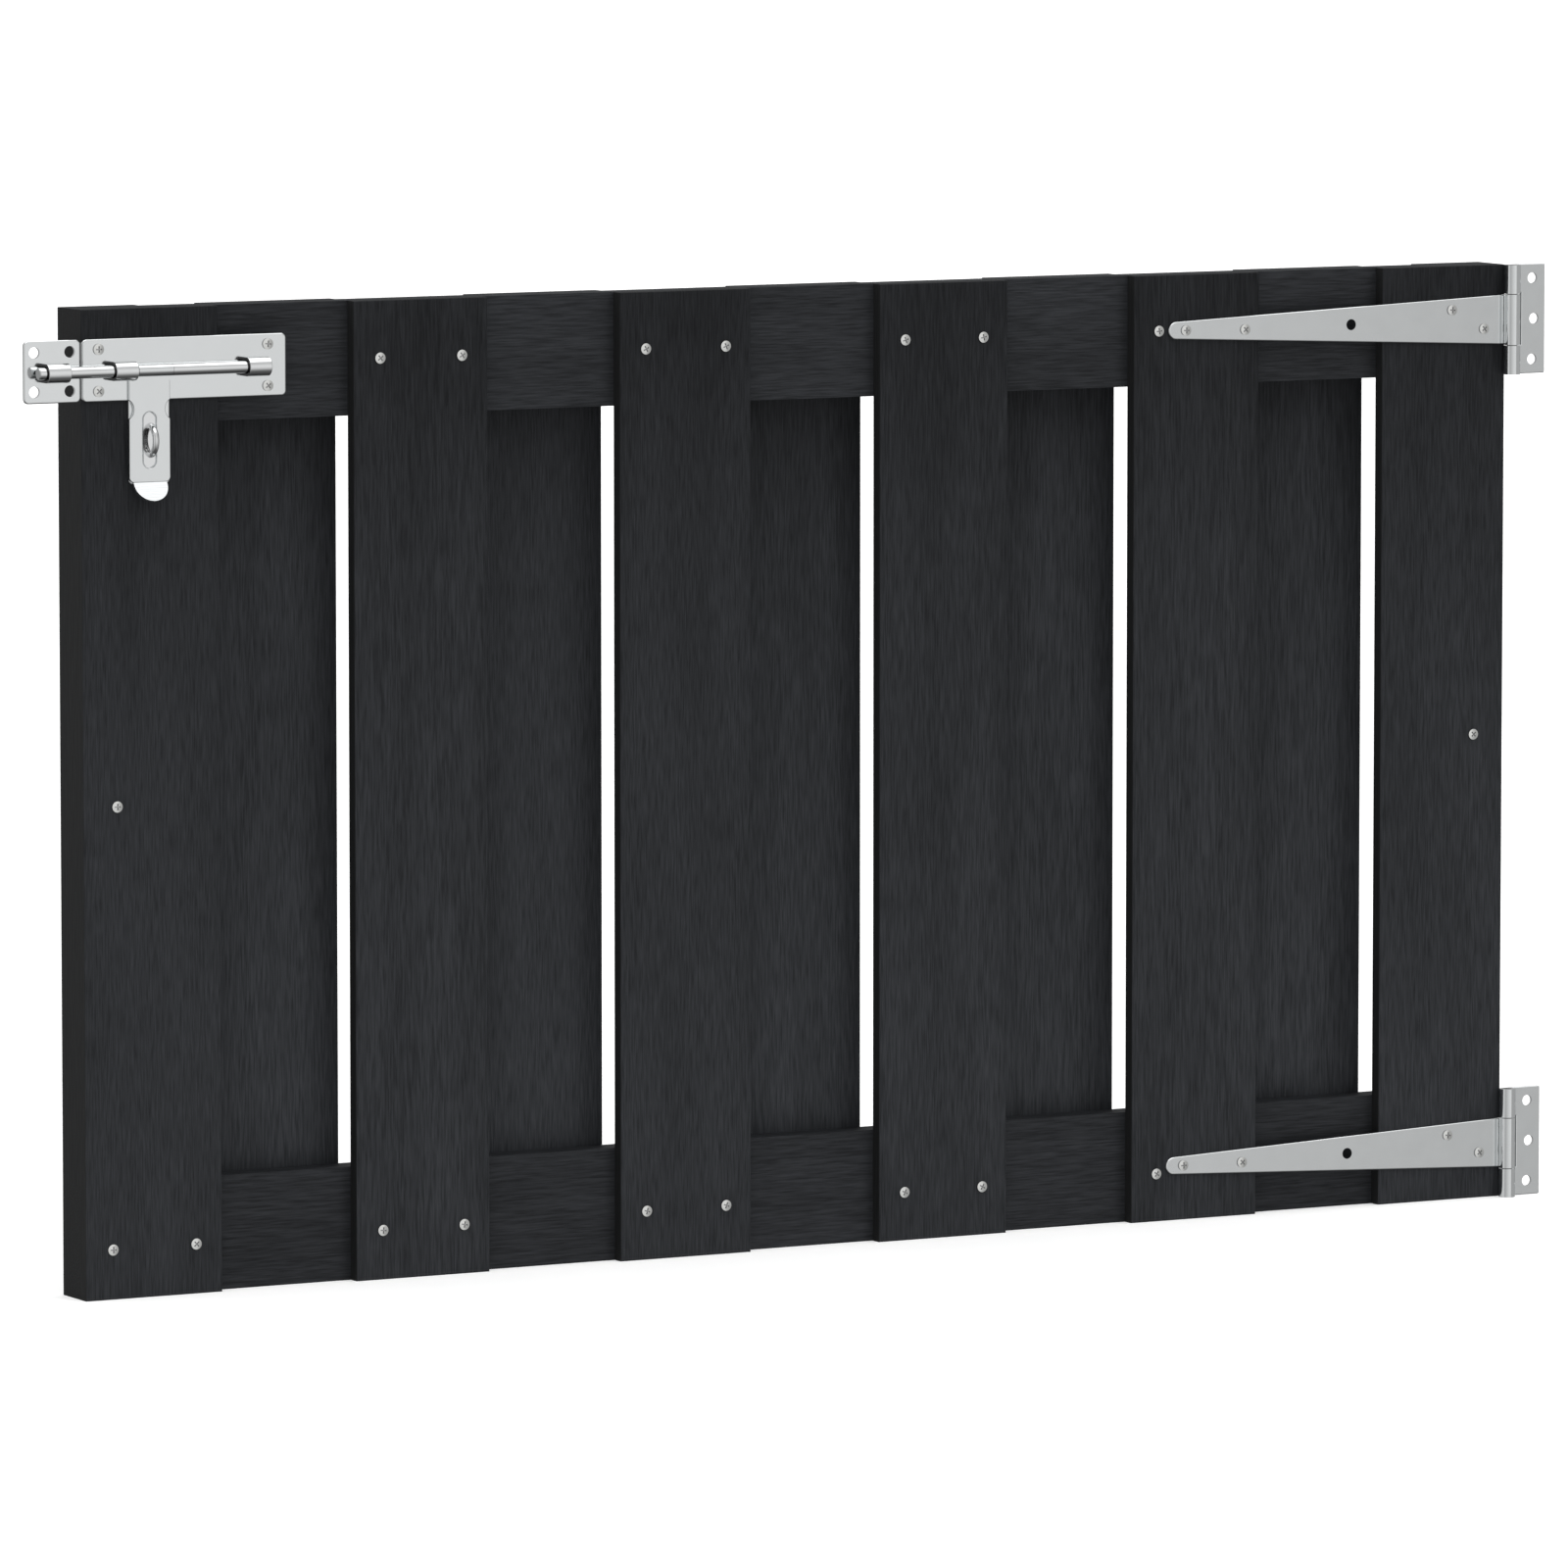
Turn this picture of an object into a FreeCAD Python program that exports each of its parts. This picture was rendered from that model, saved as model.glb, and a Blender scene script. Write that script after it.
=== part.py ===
import FreeCAD, Part
import os

from FreeCAD import Vector

# Garden gate: a boarded panel with two T-hinges on its right and a padlock bolt on its left.
# Millimetres, +Z up. The gate's front looks along -Y and its hinges are on the +X side.
# Everything is laid out from the panel's front lower left corner. The parts are moved at the
# end, so that the origin is the bottom centre of the whole gate.

# ---- panel ----
PANEL_W = 1000.0
PANEL_H = 600.0
FRONT_T = 8.5            # front boards
CORE_T = 17.0            # rails and stiles
BACK_T = 8.5             # back boards and back strips
SLOTS = 11               # boards take turns, front and back, in equal slots
RAIL_H = 70.0
STILE_W = 50.0
BOARD_EDGE_R = 0.8       # rounding round every outer face

CORE_Y = FRONT_T
BACK_Y = FRONT_T + CORE_T
PANEL_T = FRONT_T + CORE_T + BACK_T
SLOT_W = PANEL_W / SLOTS

# ---- screws ----
SHANK_R = 1.75
HEAD_R = 3.4
HEAD_H = 1.1             # low head
RIM_H = 0.85             # straight rim below the slight dome
TIP_L = 3.0
RECESS = (4.0, 0.9, 0.9) # cross recess: span, blade width, depth
BOARD_SCREW_L = 22.0
PLATE_SCREW_L = 26.0
PLATE_HOLE_R = 2.2       # clearance hole in a metal plate
TWIST_STEP = 137.5       # each screw stops at another angle
SCREW_EDGE = 17.7        # from a board's edge to its screws
LOW_ROW_Z = 30.5
HIGH_ROW_Z = 565.0
MID_Z = 299.6
FRONT_MID_X = 22.1       # screw into a stile, from the panel's end
BACK_MID_X = 33.0        # strip screws clear of the front ones

# ---- T-hinges ----
METAL_T = 2.0
METAL_EDGE_R = 0.9       # rounding of a plate's front edges
HINGE_Z = (PANEL_H - 35.0, 35.0)
PIN_X = PANEL_W + 2.3
PIN_R = 3.0
KNUCKLE_R = 5.25
RUNNING_GAP = 0.1        # strap knuckle on the pin, radial
PIN_Y = -KNUCKLE_R       # the knuckles' backs are level with the plates' backs
STRAP_TIP_X = 757.0      # centre of the strap's round end
STRAP_TIP_R = 5.6
STRAP_ROOT_HALF = 16.1   # half height where the strap meets the pin
KNUCKLE_GAP = 0.5        # between neighbouring knuckles
SEAM = 0.3               # gap at the end of a rolled knuckle
LEAF_END_X = PANEL_W + 28.7
LEAF_HALF = 35.0
LEAF_RELIEF_X = PANEL_W + 11.0
LEAF_CORNER_R = 1.0
LEAF_EDGE_R = 0.6
FREE_HOLE_R = 3.5        # holes left open for the post's own screws
LEAF_HOLE_X = PANEL_W + 19.2
LEAF_MID_HOLE_X = PANEL_W + 20.6
LEAF_HOLE_PITCH = 26.0
STRAP_SCREWS = ((763.6, 0.0), (806.7, -0.7), (959.3, 7.1), (983.1, -5.5))
STRAP_FREE_HOLE_X = 884.6

# ---- padlock bolt ----
BOLT_Z = 563.5
ROD_R = 3.75
ROD_Y = -8.0
ROD_Z = BOLT_Z - 0.45
ROD_X = (-32.0, 118.0)
ROD_TIP = (0.6, 0.5)     # length and depth of the bevelled tip
SLIDE_GAP = 0.5          # rod in its guides, radial
PLATE_X = (0.0, 135.4)
PLATE_HALF = 18.9
PLATE_CORNER_R = 3.0
PLATE_SCREW_X = (10.6, 123.0)
PLATE_SCREW_DZ = 12.65
STEM_X = (30.4, 57.6)    # the plate's tail behind the hasp
STEM_LOW_Z = 493.8
GUIDE_L = 14.7
GUIDE_WALL = 1.65
GUIDE_EDGE_R = 0.4
FRONT_GUIDE_X = 17.5
REAR_GUIDE_X = 106.0
KEEPER_X = (-38.4, -1.3)
KEEPER_GUIDE_X = -26.9
KEEPER_PITCH_X = 23.3
KEEPER_PITCH_Z = 23.6
KEEPER_HOLE_MID_X = -20.0

# ---- hasp ----
HASP_X = (29.9, 56.9)
HASP_BACK_Y = -METAL_T - 0.25
HASP_LOW_Z = 495.3       # the bend above the finger lip
HASP_SHOULDER_Z = ROD_Z - 6.5
NECK_X = (33.2, 56.3)    # turned neck of the rod, in which the hasp's eye sits
NECK_R = 2.6
EYE_GAP = 0.1            # radial, round the neck
EYE_SIDE_GAP = 0.2
HASP_SLOT_X = (38.7, 47.8)
HASP_SLOT_Z = (503.7, 537.7)
HASP_CORNER_R = 3.0
HASP_EDGE_R = 0.5
NOTCH_R = 6.8
NOTCH_DEPTH = 3.1
NOTCH_Z = 539.2
LIP_W = 22.0
LIP_L = 12.7
LIP_BEND = 32.0          # degrees, outwards

# ---- padlock staple ----
STAPLE_X = 43.86
STAPLE_Z = 520.5
STAPLE_WIRE_R = 2.0
STAPLE_OUT = 11.65       # how far the bow stands off the plate
STAPLE_H = 21.4
PAD_T = 1.65             # pad in the hasp's slot, at the bow's foot
PAD_GAP = 0.7            # between the pad and the slot's edge

# ---- origin: bottom centre of the whole gate ----
FRONT_MOST_Y = ROD_Y - ROD_R - SLIDE_GAP - GUIDE_WALL
BACK_MOST_Y = PANEL_T + HEAD_H
ORIGIN = Vector((KEEPER_X[0] + LEAF_END_X) / 2, (FRONT_MOST_Y + BACK_MOST_Y) / 2, 0)

X_AXIS = Vector(1, 0, 0)
Y_AXIS = Vector(0, 1, 0)

TOUCH = 1e-4             # two places closer than this are the same
PAST = 1.0               # how far a cutter reaches past what it cuts


def box(x, y, z):
    """A box from three (low, high) pairs."""
    return Part.makeBox(x[1] - x[0], y[1] - y[0], z[1] - z[0], Vector(x[0], y[0], z[0]))


def bar_x(x, y, z, radius):
    """A round bar along X from x[0] to x[1]."""
    return Part.makeCylinder(radius, x[1] - x[0], Vector(x[0], y, z), X_AXIS)


def hole_y(x, z, radius, y=(-METAL_T - PAST, PAST)):
    """A cutter for a round hole through the metal plates."""
    return Part.makeCylinder(radius, y[1] - y[0], Vector(x, y[0], z), Y_AXIS)


def rounded_sheet(x, z, radius, y):
    """A plate with rounded corners, standing in the XZ plane between y[0] and y[1]."""
    plate = box(x, y, z)
    return plate.makeFillet(radius, [edge for edge in plate.Edges if edge.BoundBox.YLength > TOUCH])


def round_face(shape, face_y, radius, below_z=PANEL_H + PAST):
    """Round the edges that lie in the plane y = face_y and start below a height."""
    edges = [edge for edge in shape.Edges if abs(edge.BoundBox.YMin - face_y) < TOUCH
             and abs(edge.BoundBox.YMax - face_y) < TOUCH and edge.BoundBox.ZMin < below_z]
    return shape.makeFillet(radius, edges)


# ---- screws ----

def shank(x, z, seat_y, side, length):
    """The part of a screw below its head: side 1 points to +Y, side -1 to -Y."""
    straight = Part.makeCylinder(SHANK_R, length - TIP_L, Vector(x, seat_y, z), Y_AXIS * side)
    tip_start = Vector(x, seat_y + side * (length - TIP_L), z)
    return straight.fuse(Part.makeCone(SHANK_R, 0, TIP_L, tip_start, Y_AXIS * side)).removeSplitter()


def screw(x, z, seat_y, side, length, number):
    """A domed screw with a cross recess; its head rests on the plane y = seat_y."""
    dome_h = HEAD_H - RIM_H
    ball_r = (HEAD_R ** 2 + dome_h ** 2) / (2 * dome_h)
    ball = Part.makeSphere(ball_r, Vector(x, seat_y - side * (HEAD_H - ball_r), z))
    blank = Part.makeCylinder(HEAD_R, HEAD_H, Vector(x, seat_y, z), Y_AXIS * -side)
    head = blank.common(ball)
    span, blade, depth = RECESS
    for turn in (0, 90):
        cutter = Part.makeBox(span, 2 * depth, blade, Vector(-span / 2, -depth, -blade / 2))
        cutter.rotate(Vector(), Y_AXIS, TWIST_STEP * number + turn)
        cutter.translate(Vector(x, seat_y - side * HEAD_H, z))
        head = head.cut(cutter)
    return head.fuse(shank(x, z, seat_y, side, length)).removeSplitter()


def board_screw_xs(slot):
    left = slot * SLOT_W
    return (left + SCREW_EDGE, left + SLOT_W - SCREW_EDGE)


def front_board_screw_places():
    """Two rows, without the places that the bolt's plate and the straps cover."""
    places = []
    for slot in range(0, SLOTS, 2):
        for x in board_screw_xs(slot):
            if x < STRAP_TIP_X:
                places.append((x, LOW_ROW_Z))
            if PLATE_X[1] < x < STRAP_TIP_X:
                places.append((x, HIGH_ROW_Z))
    return places


def back_board_screw_places():
    places = [(x, z) for slot in range(1, SLOTS, 2) for x in board_screw_xs(slot)
              for z in (LOW_ROW_Z, HIGH_ROW_Z)]
    strip_xs = (BACK_MID_X, PANEL_W - BACK_MID_X)
    return places + [(x, z) for x in strip_xs for z in (LOW_ROW_Z, HIGH_ROW_Z)]


def screw_specs():
    """Every screw as (x, z, seat_y, side, length), by node."""
    mid_front = [(x, MID_Z, 0.0, 1, BOARD_SCREW_L) for x in (FRONT_MID_X, PANEL_W - FRONT_MID_X)]
    mid_back = [(x, MID_Z, PANEL_T, -1, BOARD_SCREW_L) for x in (BACK_MID_X, PANEL_W - BACK_MID_X)]
    specs = {
        "front_board_screws": [(x, z, 0.0, 1, BOARD_SCREW_L) for x, z in front_board_screw_places()],
        "back_board_screws": [(x, z, PANEL_T, -1, BOARD_SCREW_L) for x, z in back_board_screw_places()],
        "stile_screws": mid_front + mid_back,
        "bolt_plate_screws": [(x, BOLT_Z + dz, -METAL_T, 1, PLATE_SCREW_L)
                              for x in PLATE_SCREW_X for dz in (PLATE_SCREW_DZ, -PLATE_SCREW_DZ)],
    }
    for name, hinge_z in zip(("upper", "lower"), HINGE_Z):
        specs[name + "_strap_screws"] = [(x, hinge_z + dz, -METAL_T, 1, PLATE_SCREW_L)
                                         for x, dz in STRAP_SCREWS]
    return specs


# ---- panel ----

def board(x, y, z, screws, outer_y=None):
    """A board drilled by the screws that reach it, its edges rounded round the outer face, if any."""
    solid = box(x, y, z)
    if outer_y is not None:
        solid = round_face(solid, outer_y, BOARD_EDGE_R)
    for spec in screws:
        if x[0] < spec[0] < x[1] and z[0] < spec[1] < z[1]:
            solid = solid.cut(shank(*spec))
    return solid


def panel_nodes(screws):
    full_height = (0, PANEL_H)
    between_rails = (RAIL_H, PANEL_H - RAIL_H)
    front, core, back = (0, FRONT_T), (CORE_Y, BACK_Y), (BACK_Y, PANEL_T)
    nodes = {}
    for slot in range(SLOTS):
        x = (slot * SLOT_W, (slot + 1) * SLOT_W)
        layer, side, outer_y = (front, "front", 0) if slot % 2 == 0 else (back, "back", PANEL_T)
        nodes["%s_board_%d" % (side, slot // 2 + 1)] = board(x, layer, full_height, screws, outer_y)
    for side, x in (("left", (0, STILE_W)), ("right", (PANEL_W - STILE_W, PANEL_W))):
        nodes["%s_stile" % side] = board(x, core, between_rails, screws)
        nodes["%s_back_strip" % side] = board(x, back, full_height, screws, PANEL_T)
    nodes["top_rail"] = board((0, PANEL_W), core, (PANEL_H - RAIL_H, PANEL_H), screws)
    nodes["bottom_rail"] = board((0, PANEL_W), core, (0, RAIL_H), screws)
    return nodes


# ---- T-hinges ----

def knuckle(z, bore_r):
    """A rolled knuckle round the hinge pin from z[0] to z[1], and its bore."""
    place = Vector(PIN_X, PIN_Y, z[0])
    return Part.makeCylinder(KNUCKLE_R, z[1] - z[0], place), Part.makeCylinder(bore_r, z[1] - z[0], place)


def strap(hinge_z):
    """The tapered strap on the gate, with the middle knuckle."""
    tip_top = Vector(STRAP_TIP_X, 0, hinge_z + STRAP_TIP_R)
    tip_low = Vector(STRAP_TIP_X, 0, hinge_z - STRAP_TIP_R)
    root_top = Vector(PIN_X, 0, hinge_z + STRAP_ROOT_HALF)
    root_low = Vector(PIN_X, 0, hinge_z - STRAP_ROOT_HALF)
    tip = Part.Arc(tip_low, Vector(STRAP_TIP_X - STRAP_TIP_R, 0, hinge_z), tip_top).toShape()
    outline = Part.Wire([tip, Part.makeLine(tip_top, root_top), Part.makeLine(root_top, root_low),
                         Part.makeLine(root_low, tip_low)])
    plate = round_face(Part.Face(outline).extrude(Vector(0, -METAL_T, 0)), -METAL_T, METAL_EDGE_R)
    barrel, bore = knuckle((root_low.z, root_top.z), PIN_R + RUNNING_GAP)
    seam = box((PIN_X - KNUCKLE_R, PIN_X), (-METAL_T - SEAM, -METAL_T), (root_low.z, root_top.z))
    solid = plate.fuse(barrel).cut(bore).cut(seam)
    for x, dz in STRAP_SCREWS:
        solid = solid.cut(hole_y(x, hinge_z + dz, PLATE_HOLE_R))
    return solid.cut(hole_y(STRAP_FREE_HOLE_X, hinge_z, FREE_HOLE_R))


def leaf(hinge_z):
    """The plate for the post, with the two outer knuckles and a relief for the strap's knuckle."""
    low, high = hinge_z - LEAF_HALF, hinge_z + LEAF_HALF
    relief = STRAP_ROOT_HALF + KNUCKLE_GAP
    plate = rounded_sheet((PIN_X - LEAF_CORNER_R, LEAF_END_X), (low, high), LEAF_CORNER_R, (-METAL_T, 0))
    plate = plate.cut(box((PIN_X - LEAF_CORNER_R, PIN_X), (-METAL_T, 0), (low, high)))
    plate = plate.cut(box((PIN_X, LEAF_RELIEF_X), (-METAL_T, 0), (hinge_z - relief, hinge_z + relief)))
    solid = round_face(plate, -METAL_T, LEAF_EDGE_R)
    for z in ((low, hinge_z - relief), (hinge_z + relief, high)):
        barrel, bore = knuckle(z, PIN_R)
        seam = box((PIN_X, PIN_X + KNUCKLE_R), (-METAL_T - SEAM, -METAL_T), z)
        solid = solid.fuse(barrel).cut(bore).cut(seam)
    solid = solid.cut(hole_y(LEAF_MID_HOLE_X, hinge_z, FREE_HOLE_R))
    for dz in (-LEAF_HOLE_PITCH, LEAF_HOLE_PITCH):
        solid = solid.cut(hole_y(LEAF_HOLE_X, hinge_z + dz, FREE_HOLE_R))
    return solid


def pin(hinge_z):
    return Part.makeCylinder(PIN_R, 2 * LEAF_HALF, Vector(PIN_X, PIN_Y, hinge_z - LEAF_HALF))


def hinge_nodes():
    nodes = {}
    for name, hinge_z in zip(("upper", "lower"), HINGE_Z):
        nodes[name + "_hinge_strap"] = strap(hinge_z)
        nodes[name + "_hinge_leaf"] = leaf(hinge_z)
        nodes[name + "_hinge_pin"] = pin(hinge_z)
    return nodes


# ---- padlock bolt ----

def guide(x):
    """A strap bent over the rod, with its feet on a plate."""
    inner_r = ROD_R + SLIDE_GAP
    outer_r = inner_r + GUIDE_WALL
    ends = (x, x + GUIDE_L)
    outer = bar_x(ends, ROD_Y, ROD_Z, outer_r)
    outer = outer.fuse(box(ends, (ROD_Y, 0), (ROD_Z - outer_r, ROD_Z + outer_r))).removeSplitter()
    rims = [edge for edge in outer.Edges if edge.BoundBox.XLength < TOUCH
            and edge.BoundBox.YMin < -METAL_T]
    outer = outer.makeFillet(GUIDE_EDGE_R, rims)
    inner = bar_x(ends, ROD_Y, ROD_Z, inner_r)
    inner = inner.fuse(box(ends, (ROD_Y, 0), (ROD_Z - inner_r, ROD_Z + inner_r)))
    behind_plate = box(ends, (-METAL_T, PAST), (ROD_Z - outer_r - PAST, ROD_Z + outer_r + PAST))
    return outer.cut(inner).cut(behind_plate)


def bolt_plate():
    """A plate with a tail that backs the hasp and carries the staple."""
    main = rounded_sheet(PLATE_X, (BOLT_Z - PLATE_HALF, BOLT_Z + PLATE_HALF), PLATE_CORNER_R, (-METAL_T, 0))
    tail = rounded_sheet(STEM_X, (STEM_LOW_Z, BOLT_Z), PLATE_CORNER_R, (-METAL_T, 0))
    solid = round_face(main.fuse(tail).removeSplitter(), -METAL_T, METAL_EDGE_R)
    for x in PLATE_SCREW_X:
        for dz in (PLATE_SCREW_DZ, -PLATE_SCREW_DZ):
            solid = solid.cut(hole_y(x, BOLT_Z + dz, PLATE_HOLE_R))
    return solid


def keeper_plate():
    """The plate for the post that takes the rod's end."""
    solid = rounded_sheet(KEEPER_X, (BOLT_Z - PLATE_HALF, BOLT_Z + PLATE_HALF), PLATE_CORNER_R,
                          (-METAL_T, 0))
    solid = round_face(solid, -METAL_T, METAL_EDGE_R)
    for x in (KEEPER_HOLE_MID_X - KEEPER_PITCH_X / 2, KEEPER_HOLE_MID_X + KEEPER_PITCH_X / 2):
        for z in (BOLT_Z - KEEPER_PITCH_Z / 2, BOLT_Z + KEEPER_PITCH_Z / 2):
            solid = solid.cut(hole_y(x, z, FREE_HOLE_R))
    return solid


def bolt_rod():
    """The rod, bevelled at its tip and turned down where the hasp's eye sits."""
    length, depth = ROD_TIP
    body = bar_x((ROD_X[0] + length, ROD_X[1]), ROD_Y, ROD_Z, ROD_R)
    tip = Part.makeCone(ROD_R - depth, ROD_R, length, Vector(ROD_X[0], ROD_Y, ROD_Z), X_AXIS)
    groove = bar_x(NECK_X, ROD_Y, ROD_Z, ROD_R + PAST).cut(bar_x(NECK_X, ROD_Y, ROD_Z, NECK_R))
    return body.fuse(tip).removeSplitter().cut(groove)


def finger_lip():
    """The half-round lip below the hasp, bent outwards, with the bend's outer corner filled."""
    back, front = HASP_BACK_Y, HASP_BACK_Y - METAL_T
    middle = (HASP_X[0] + HASP_X[1]) / 2
    width = (middle - LIP_W / 2, middle + LIP_W / 2)
    radius = LIP_W / 2
    centre_z = HASP_LOW_Z - (LIP_L - radius)
    flat = box(width, (front, back), (centre_z, HASP_LOW_Z))
    disc = Part.makeCylinder(radius, METAL_T, Vector(middle, front, centre_z), Y_AXIS)
    disc = disc.common(box(width, (front, back), (HASP_LOW_Z - LIP_L, centre_z)))
    lip = flat.fuse(disc).removeSplitter()
    lip.rotate(Vector(0, front, HASP_LOW_Z), X_AXIS, -LIP_BEND)
    bend = bar_x(width, front, HASP_LOW_Z, METAL_T)
    return lip.fuse(bend.common(box(width, (front, back), (HASP_LOW_Z - METAL_T, HASP_LOW_Z))))


def slot_shape(x, z, y):
    """An upright slot with round ends, between y[0] and y[1]."""
    radius = (x[1] - x[0]) / 2
    ends = (z[0] + radius, z[1] - radius)
    solid = box(x, y, ends)
    for end in ends:
        solid = solid.fuse(hole_y(x[0] + radius, end, radius, y))
    return solid.removeSplitter()


def hasp():
    """The slotted plate that hangs from the rod and goes over the staple."""
    back, front = HASP_BACK_Y, HASP_BACK_Y - METAL_T
    sheet = (front, back)
    through = (front - PAST, back + PAST)
    solid = box(HASP_X, sheet, (HASP_LOW_Z, HASP_SHOULDER_Z))
    low_corners = [edge for edge in solid.Edges if edge.BoundBox.YLength > TOUCH
                   and edge.BoundBox.ZMax < HASP_LOW_Z + TOUCH]
    solid = solid.makeFillet(HASP_CORNER_R, low_corners)
    for x in (HASP_X[0] + NOTCH_DEPTH - NOTCH_R, HASP_X[1] - NOTCH_DEPTH + NOTCH_R):
        solid = solid.cut(hole_y(x, NOTCH_Z, NOTCH_R, through))
    solid = solid.cut(slot_shape(HASP_SLOT_X, HASP_SLOT_Z, through))
    solid = round_face(solid, front, HASP_EDGE_R, HASP_SHOULDER_Z - PAST)
    eye_x = (NECK_X[0] + EYE_SIDE_GAP, NECK_X[1] - EYE_SIDE_GAP)
    eye_bore = bar_x(eye_x, ROD_Y, ROD_Z, NECK_R + EYE_GAP)
    eye = bar_x(eye_x, ROD_Y, ROD_Z, ROD_R)
    neck_of_sheet = box(eye_x, sheet, (HASP_SHOULDER_Z, ROD_Z))
    backing = box(eye_x, (ROD_Y, back), (ROD_Z - ROD_R / 2, ROD_Z))
    eye = eye.fuse(neck_of_sheet).fuse(backing).cut(eye_bore)
    return solid.fuse(eye).fuse(finger_lip()).removeSplitter()


def staple():
    """A wire bow for the padlock, upright and square to the plate, on a pad in the hasp's slot."""
    bend_r = STAPLE_H / 2 - STAPLE_WIRE_R
    centre = Vector(STAPLE_X, -METAL_T - STAPLE_OUT + STAPLE_H / 2, STAPLE_Z)
    ring = Part.makeTorus(bend_r, STAPLE_WIRE_R, centre, X_AXIS)
    front_half = box((STAPLE_X - STAPLE_OUT, STAPLE_X + STAPLE_OUT), (centre.y - STAPLE_H, centre.y),
                     (STAPLE_Z - STAPLE_H, STAPLE_Z + STAPLE_H))
    bow = ring.common(front_half)
    for side in (1, -1):
        foot = centre + Vector(0, 0, side * bend_r)
        bow = bow.fuse(Part.makeCylinder(STAPLE_WIRE_R, -METAL_T - centre.y, foot, Y_AXIS))
    pad = slot_shape((HASP_SLOT_X[0] + PAD_GAP, HASP_SLOT_X[1] - PAD_GAP),
                     (HASP_SLOT_Z[0] + PAD_GAP, HASP_SLOT_Z[1] - PAD_GAP), (-METAL_T - PAD_T, -METAL_T))
    return bow.fuse(pad).removeSplitter()


def bolt_nodes():
    return {
        "bolt_plate": bolt_plate(),
        "bolt_guide_front": guide(FRONT_GUIDE_X),
        "bolt_guide_rear": guide(REAR_GUIDE_X),
        "padlock_staple": staple(),
        "bolt_rod": bolt_rod(),
        "hasp": hasp(),
        "keeper_plate": keeper_plate(),
        "keeper_guide": guide(KEEPER_GUIDE_X),
    }


def build():
    """All nodes by name, in their place round the gate's own origin."""
    specs = screw_specs()
    nodes = panel_nodes([spec for group in specs.values() for spec in group])
    nodes.update(hinge_nodes())
    nodes.update(bolt_nodes())
    for name, group in specs.items():
        nodes[name] = Part.makeCompound([screw(*spec, number) for number, spec in enumerate(group)])
    for shape in nodes.values():
        shape.translate(-ORIGIN)
    return nodes


os.makedirs("parts", exist_ok=True)
for node, shape in build().items():
    shape.exportStep("parts/%s.step" % node)
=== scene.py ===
import math

import bpy
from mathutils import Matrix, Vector


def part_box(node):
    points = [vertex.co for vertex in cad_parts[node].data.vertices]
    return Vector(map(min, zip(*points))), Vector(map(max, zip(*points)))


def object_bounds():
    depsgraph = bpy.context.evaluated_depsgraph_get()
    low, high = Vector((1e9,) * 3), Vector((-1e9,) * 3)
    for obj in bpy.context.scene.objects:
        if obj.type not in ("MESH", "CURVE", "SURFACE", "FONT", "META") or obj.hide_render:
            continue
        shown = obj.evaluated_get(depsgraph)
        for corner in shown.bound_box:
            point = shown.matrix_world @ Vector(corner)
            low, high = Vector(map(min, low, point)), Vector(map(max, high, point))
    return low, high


# Looks of a boarded garden gate with T-hinges and a padlock bolt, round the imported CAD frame.
# Metres, +Z up. The gate's front looks along -Y and its origin is its bottom centre.

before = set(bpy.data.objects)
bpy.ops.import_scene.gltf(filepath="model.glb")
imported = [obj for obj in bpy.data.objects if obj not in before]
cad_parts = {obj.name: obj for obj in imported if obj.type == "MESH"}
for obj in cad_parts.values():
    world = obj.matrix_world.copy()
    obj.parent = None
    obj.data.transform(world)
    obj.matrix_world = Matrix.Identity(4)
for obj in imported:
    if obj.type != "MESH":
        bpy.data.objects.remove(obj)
cad_low, cad_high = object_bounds()

scene = bpy.context.scene

# ---- camera: looking at the gate's middle from its front left, a little above ----
CAMERA_TURN = 28.124        # degrees from the front, towards the gate's left
CAMERA_HEIGHT = 5.828       # degrees above the horizontal
CAMERA_DISTANCE = 7.3744
AIM_OFFSET = Vector((-0.01255, -0.00165, -0.00947))   # from the middle of the gate's width and height
LENS = 272.42               # millimetres, as the sensor's width is
SENSOR = 36.0

# ---- light: radiance of the studio round the gate ----
WALL = 0.72                 # the wall in front
BY_HEIGHT = (               # (sine of the height, radiance), down to the floor and up to the softbox
    (-0.90, 0.08), (-0.775, 0.13), (-0.584, 0.35), (-0.337, 0.57), (-0.06, 0.70), (0.23, WALL),
    (0.50, 0.66), (0.76, 0.66), (0.80, 1.80))
BY_TURN = (                 # (degrees from the front, radiance near the horizon), + to the right
    (-180, 0.40), (-152, 0.38), (-100, 0.60), (-86, WALL), (-78, WALL), (-62, 0.47), (-50, 0.47),
    (-33, 0.58), (-8, WALL), (23, 0.81), (26, 0.80), (30, 0.62), (32, 0.49), (36, 0.42), (130, 0.40),
    (180, 0.40))
TURN_COUNTS = ((-0.9, 0.3), (-0.4, 1.0), (0.5, 1.0), (0.64, 0.0))   # (sine, how much the turn counts)
KEY_STRENGTH = 0.6          # soft sun from the front right, for contact shadows
KEY_SPREAD = 20             # degrees across
KEY_TILT = 48               # degrees from straight down
KEY_TURN = 35               # degrees towards the right

# ---- floor ----
FLOOR_REACH = 60.0
FLOOR_TONE = 0.9
FLOOR_GLOW = 0.3            # lifts the floor to the studio's white


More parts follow.
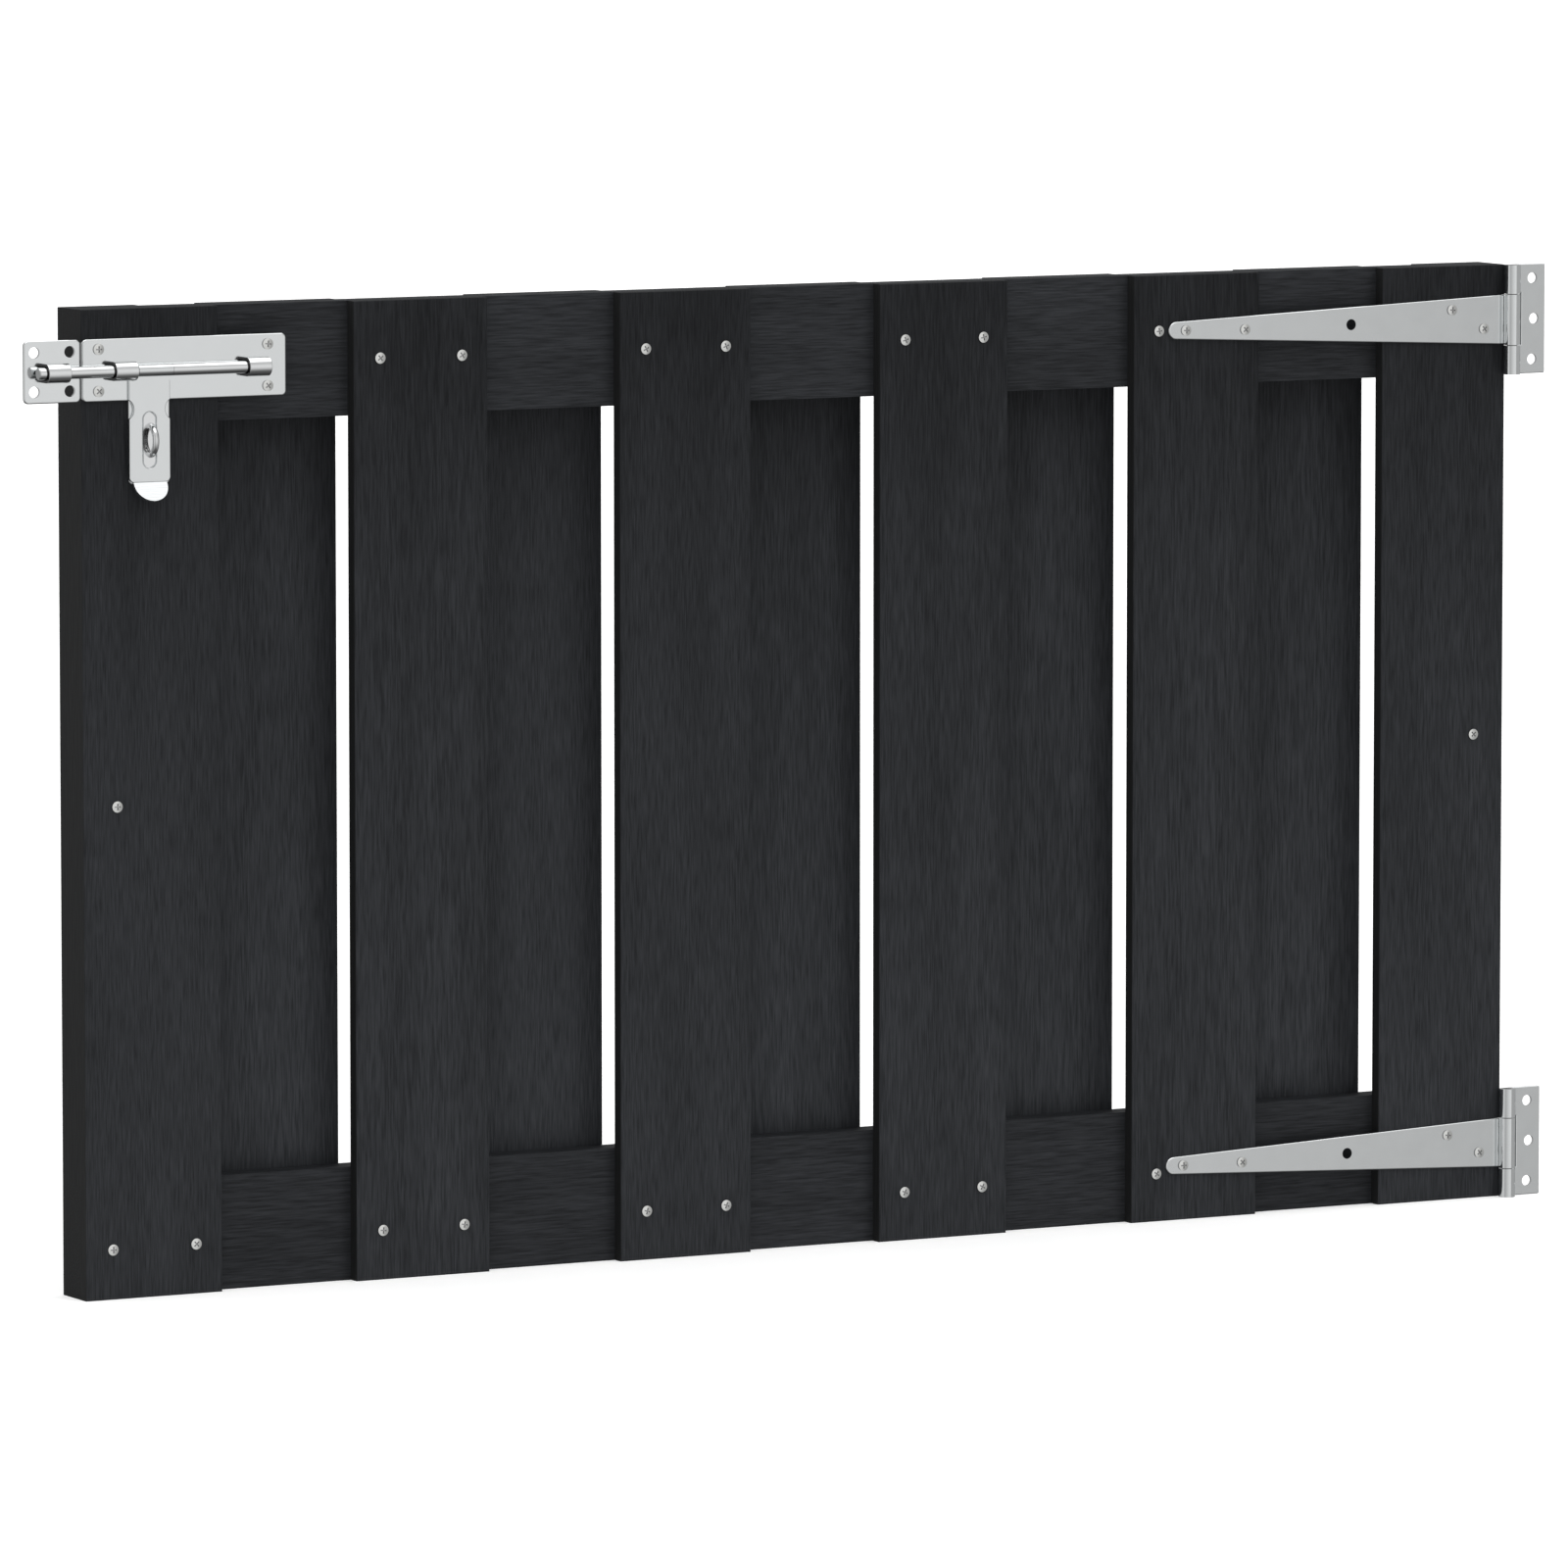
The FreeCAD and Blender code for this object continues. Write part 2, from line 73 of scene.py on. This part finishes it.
def make_camera():
    aim = Vector(((cad_low.x + cad_high.x) / 2, 0, (cad_low.z + cad_high.z) / 2)) + AIM_OFFSET
    turn, height = math.radians(CAMERA_TURN), math.radians(CAMERA_HEIGHT)
    towards = Vector((-math.sin(turn) * math.cos(height), -math.cos(turn) * math.cos(height),
                      math.sin(height)))
    data = bpy.data.cameras.new("camera")
    data.sensor_width = SENSOR
    data.lens = LENS
    camera = bpy.data.objects.new("camera", data)
    camera.location = aim + towards * CAMERA_DISTANCE
    camera.rotation_euler = (math.pi / 2 - height, 0, -turn)
    scene.collection.objects.link(camera)
    scene.camera = camera


# ---- node helpers ----

def new_material(name):
    material = bpy.data.materials.new(name)
    material.use_nodes = True
    tree = material.node_tree
    shader = next(node for node in tree.nodes if node.type == "BSDF_PRINCIPLED")
    return material, tree, shader


def add(tree, kind, **values):
    node = tree.nodes.new(kind)
    for name, value in values.items():
        setattr(node, name, value)
    return node


def stretched_noise(tree, scale, seed, detail=3.0, roughness=0.55):
    """Noise over object coordinates, with its own scale along each axis."""
    where = add(tree, "ShaderNodeTexCoord")
    mapping = add(tree, "ShaderNodeMapping")
    mapping.inputs["Scale"].default_value = scale
    mapping.inputs["Location"].default_value = (seed * 3.7, seed * 1.9, seed * 2.3)
    noise = add(tree, "ShaderNodeTexNoise")
    noise.inputs["Scale"].default_value = 1.0
    noise.inputs["Detail"].default_value = detail
    noise.inputs["Roughness"].default_value = roughness
    tree.links.new(where.outputs["Object"], mapping.inputs["Vector"])
    tree.links.new(mapping.outputs["Vector"], noise.inputs["Vector"])
    return noise.outputs["Fac"]


def ramp(tree, factor, stops):
    """A colour ramp; each stop is (place, grey level or colour)."""
    node = add(tree, "ShaderNodeValToRGB")
    elements = node.color_ramp.elements
    while len(elements) < len(stops):
        elements.new(0.5)
    for element, (place, colour) in zip(elements, stops):
        element.position = place
        if isinstance(colour, (int, float)):
            colour = (colour, colour, colour)
        element.color = (*colour, 1.0)
    tree.links.new(factor, node.inputs["Fac"])
    return node.outputs["Color"]


def maths(tree, operation, first, second):
    node = add(tree, "ShaderNodeMath", operation=operation)
    for socket, value in zip(node.inputs, (first, second)):
        if isinstance(value, (int, float)):
            socket.default_value = value
        else:
            tree.links.new(value, socket)
    return node.outputs["Value"]


def multiply_colours(tree, first, second):
    node = add(tree, "ShaderNodeMix", data_type="RGBA", blend_type="MULTIPLY")
    node.inputs["Factor"].default_value = 1.0
    tree.links.new(first, node.inputs["A"])
    tree.links.new(second, node.inputs["B"])
    return next(output for output in node.outputs if output.type == "RGBA")


def add_bump(tree, shader, height, strength, distance):
    bump = add(tree, "ShaderNodeBump")
    bump.inputs["Strength"].default_value = strength
    bump.inputs["Distance"].default_value = distance
    tree.links.new(height, bump.inputs["Height"])
    tree.links.new(bump.outputs["Normal"], shader.inputs["Normal"])


def own_parts(tree, output="Object"):
    """The X, Y and Z of an object's own coordinates, or of its own normals."""
    where = add(tree, "ShaderNodeTexCoord")
    parts = add(tree, "ShaderNodeSeparateXYZ")
    tree.links.new(where.outputs[output], parts.inputs["Vector"])
    return parts.outputs


def faces_along_x(tree):
    """1 on faces that look along X, else 0."""
    size = maths(tree, "ABSOLUTE", own_parts(tree, "Normal")["X"], 0.0)
    return maths(tree, "GREATER_THAN", size, ALONG_X)


def faces_back(tree):
    """1 on faces that look to the back, else 0."""
    return maths(tree, "GREATER_THAN", own_parts(tree, "Normal")["Y"], LOOKS_BACK)


def blend(tree, share, first, second):
    """From the first colour to the second; a colour is a socket or three levels."""
    node = add(tree, "ShaderNodeMix", data_type="RGBA")
    tree.links.new(share, node.inputs["Factor"])
    for name, colour in (("A", first), ("B", second)):
        socket = next(item for item in node.inputs if item.name == name and item.type == "RGBA")
        if isinstance(colour, tuple):
            socket.default_value = (*colour, 1.0)
        else:
            tree.links.new(colour, socket)
    return next(output for output in node.outputs if output.type == "RGBA")


# ---- materials ----

# painted shade, darker towards the top, and on the boards behind also under the top rail, as (height
# over the gate's, tone)
FRONT_PAINTED_SHADE = ((0.13, 0.84), (0.33, 0.77), (0.53, 0.72), (0.73, 0.63), (0.83, 0.545), (0.96, 0.44))
BACK_PAINTED_SHADE = ((0.13, 1.0), (0.33, 0.88), (0.53, 0.82), (0.73, 0.73), (0.83, 0.56), (0.90, 0.48))
DARK_SHADE = (0.0338, 0.0361, 0.0400)
LIGHT_SHADE = (0.0444, 0.0472, 0.0527)
# painted shade: one flat dark colour on the board ends, the faces that look along X
END_PAINTED_SHADE = (0.0162, 0.0167, 0.0171)
PLAIN_TONE = ((0.0, 0.72), (1.0, 0.72))      # the rails, the same over their height
ALONG_X = 0.9               # least size of a normal's X on a face that looks along X
LOOKS_BACK = 0.15           # least Y of a normal on a face that looks to the back
RIM_DEPTH = 0.0003          # how deep in a screw the painted shade begins


def composite(item, along, height_painted_shade=PLAIN_TONE):
    """Black wood composite with a fine brushed grain along one axis, painted shade darker towards the
    top, and a flat painted shade on the ends that look along X.
    """
    seed = sum(ord(letter) * (place + 1) for place, letter in enumerate(item.name)) % 97
    material, tree, shader = new_material(item.name + "_composite")
    fine = [1000.0] * 3
    fine[along] = 55.0
    broad = [30.0] * 3
    broad[along] = 4.0
    streaks = stretched_noise(tree, fine, seed, detail=2.0)
    shades = stretched_noise(tree, broad, seed + 11, detail=2.0)
    streak_tone = ramp(tree, streaks, ((0.30, 0.50), (0.5, 0.75), (0.70, 1.0)))
    shade_tone = ramp(tree, shades, ((0.3, DARK_SHADE), (0.7, LIGHT_SHADE)))
    height = maths(tree, "DIVIDE", own_parts(tree)["Z"], cad_high.z)
    # the height ramp is painted shade, darker towards the top
    tone = multiply_colours(tree, shade_tone, multiply_colours(tree, streak_tone,
                                                               ramp(tree, height, height_painted_shade)))
    # painted shade on the ends that look along X
    tone = blend(tree, faces_along_x(tree), tone, END_PAINTED_SHADE)
    tree.links.new(tone, shader.inputs["Base Color"])
    tree.links.new(ramp(tree, streaks, ((0.3, 0.68), (0.7, 0.54))), shader.inputs["Roughness"])
    shader.inputs["Specular IOR Level"].default_value = 0.1
    add_bump(tree, shader, streaks, 0.4, 0.0005)
    return material


def zinc(name, colour, rough, painted_shade=None, painted_shade_tone=0.02):
    """Bright zinc plating with a faint rolled grain; the mask function, given the tree, is 1 where
    painted shade makes it dark.
    """
    material, tree, shader = new_material(name)
    grain = stretched_noise(tree, (60.0, 60.0, 1400.0), 1)
    marks = stretched_noise(tree, (90.0, 90.0, 90.0), 2, detail=5.0)
    tone = ramp(tree, marks, ((0.3, tuple(0.97 * part for part in colour)), (0.7, colour)))
    if painted_shade:
        # painted shade: the mask's places take the dark tone
        tone = blend(tree, painted_shade(tree), tone, (painted_shade_tone,) * 3)
    tree.links.new(tone, shader.inputs["Base Color"])
    level = maths(tree, "ADD", maths(tree, "MULTIPLY", marks, 0.06), rough - 0.03)
    tree.links.new(level, shader.inputs["Roughness"])
    shader.inputs["Metallic"].default_value = 1.0
    add_bump(tree, shader, grain, 0.05, 0.0002)
    return material


def guide_zinc(item, colour):
    """A guide, with painted shade inside it and on its cut ends."""
    rod_low, rod_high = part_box("bolt_rod")
    outer_low, outer_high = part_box("bolt_guide_rear")
    axis = (rod_low + rod_high) / 2
    wall = (rod_high.z - rod_low.z + outer_high.z - outer_low.z) / 4

    def painted_shade(tree):
        parts = own_parts(tree)
        forward = maths(tree, "MINIMUM", maths(tree, "SUBTRACT", parts["Y"], axis.y), 0.0)
        upward = maths(tree, "SUBTRACT", parts["Z"], axis.z)
        squares = [maths(tree, "POWER", maths(tree, "ABSOLUTE", part, 0.0), 2.0)
                   for part in (forward, upward)]
        away = maths(tree, "SQRT", maths(tree, "ADD", *squares), 0.0)
        # painted shade: 1 inside the guide's wall and on its ends
        return maths(tree, "MAXIMUM", maths(tree, "LESS_THAN", away, wall), faces_along_x(tree))

    return zinc(item.name + "_zinc", colour, 0.08, painted_shade)


def screw_steel(item):
    """Screws, with painted shade in their recesses and under the rim of their heads."""
    low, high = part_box(item.name)

    def painted_shade(tree):
        level = own_parts(tree)["Y"]
        depth = maths(tree, "MINIMUM", maths(tree, "SUBTRACT", level, low.y),
                      maths(tree, "SUBTRACT", high.y, level))
        # painted shade deeper than the rim
        return maths(tree, "GREATER_THAN", depth, RIM_DEPTH)

    return zinc(item.name + "_steel", (0.840, 0.845, 0.825), 0.16, painted_shade, 0.42)


def dress():
    """Give every CAD node its material."""
    bright_zinc = (0.860, 0.870, 0.875)
    sheet = zinc("plate_zinc", (0.845, 0.865, 0.870), 0.12)
    pin_steel = zinc("pin_steel", (0.12, 0.12, 0.12), 0.35)
    for name in sorted(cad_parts):
        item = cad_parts[name]
        if "screws" in name:
            material = screw_steel(item)
        elif "rail" in name:
            material = composite(item, 0)
        elif name.startswith("front_board"):
            material = composite(item, 2, FRONT_PAINTED_SHADE)
        elif "board" in name or "strip" in name or "stile" in name:
            material = composite(item, 2, BACK_PAINTED_SHADE)
        elif "guide" in name:
            material = guide_zinc(item, bright_zinc)
        elif name == "bolt_rod":
            # painted shade on the rod's end faces
            material = zinc("rod_zinc", bright_zinc, 0.08, faces_along_x, 0.45)
        elif "pin" in name:
            material = pin_steel
        elif name == "padlock_staple":
            # painted shade on the staple's faces that look to the back, so its reflection in the plate
            # is dark
            material = zinc("staple_zinc", bright_zinc, 0.08, faces_back, 0.25)
        else:
            material = sheet
        for slot in item.material_slots:
            slot.material = material


# ---- studio ----

def make_world():
    world = bpy.data.worlds.new("studio")
    world.use_nodes = True
    tree = world.node_tree
    where = add(tree, "ShaderNodeTexCoord")
    parts = add(tree, "ShaderNodeSeparateXYZ")
    tree.links.new(where.outputs["Generated"], parts.inputs["Vector"])
    top = max(level for place, level in BY_HEIGHT)
    height = maths(tree, "ADD", maths(tree, "MULTIPLY", parts.outputs["Z"], 0.5), 0.5)
    by_height = ramp(tree, height, [((z + 1) / 2, level / top) for z, level in BY_HEIGHT])
    angle = maths(tree, "ARCTAN2", parts.outputs["X"], maths(tree, "MULTIPLY", parts.outputs["Y"], -1.0))
    turn = maths(tree, "ADD", maths(tree, "DIVIDE", angle, 2 * math.pi), 0.5)
    by_turn = ramp(tree, turn, [(degrees / 360 + 0.5, level / WALL) for degrees, level in BY_TURN])
    counts = ramp(tree, height, [((z + 1) / 2, share) for z, share in TURN_COUNTS])
    mix = add(tree, "ShaderNodeMix", data_type="RGBA", blend_type="MULTIPLY")
    tree.links.new(counts, mix.inputs["Factor"])
    tree.links.new(by_height, mix.inputs["A"])
    tree.links.new(by_turn, mix.inputs["B"])
    colour = next(output for output in mix.outputs if output.type == "RGBA")
    background = next(node for node in tree.nodes if node.type == "BACKGROUND")
    background.inputs["Strength"].default_value = top
    tree.links.new(colour, background.inputs["Color"])
    scene.world = world


def make_key_light():
    data = bpy.data.lights.new("key", "SUN")
    data.energy = KEY_STRENGTH
    data.angle = math.radians(KEY_SPREAD)
    key = bpy.data.objects.new("key", data)
    key.rotation_euler = (math.radians(KEY_TILT), 0, math.radians(KEY_TURN))
    key.visible_glossy = False
    scene.collection.objects.link(key)


def make_floor():
    mesh = bpy.data.meshes.new("floor")
    corners = [(x * FLOOR_REACH, y * FLOOR_REACH, 0) for x, y in ((-1, -1), (1, -1), (1, 1), (-1, 1))]
    mesh.from_pydata(corners, [], [(0, 1, 2, 3)])
    floor = bpy.data.objects.new("floor", mesh)
    scene.collection.objects.link(floor)
    material, _, shader = new_material("floor_white")
    shader.inputs["Base Color"].default_value = (FLOOR_TONE, FLOOR_TONE, FLOOR_TONE, 1)
    shader.inputs["Roughness"].default_value = 0.9
    shader.inputs["Specular IOR Level"].default_value = 0.0
    shader.inputs["Emission Color"].default_value = (1, 1, 1, 1)
    shader.inputs["Emission Strength"].default_value = FLOOR_GLOW
    mesh.materials.append(material)
    floor.visible_glossy = False


dress()
make_world()
make_key_light()
make_floor()
make_camera()
scene.view_settings.view_transform = "Standard"
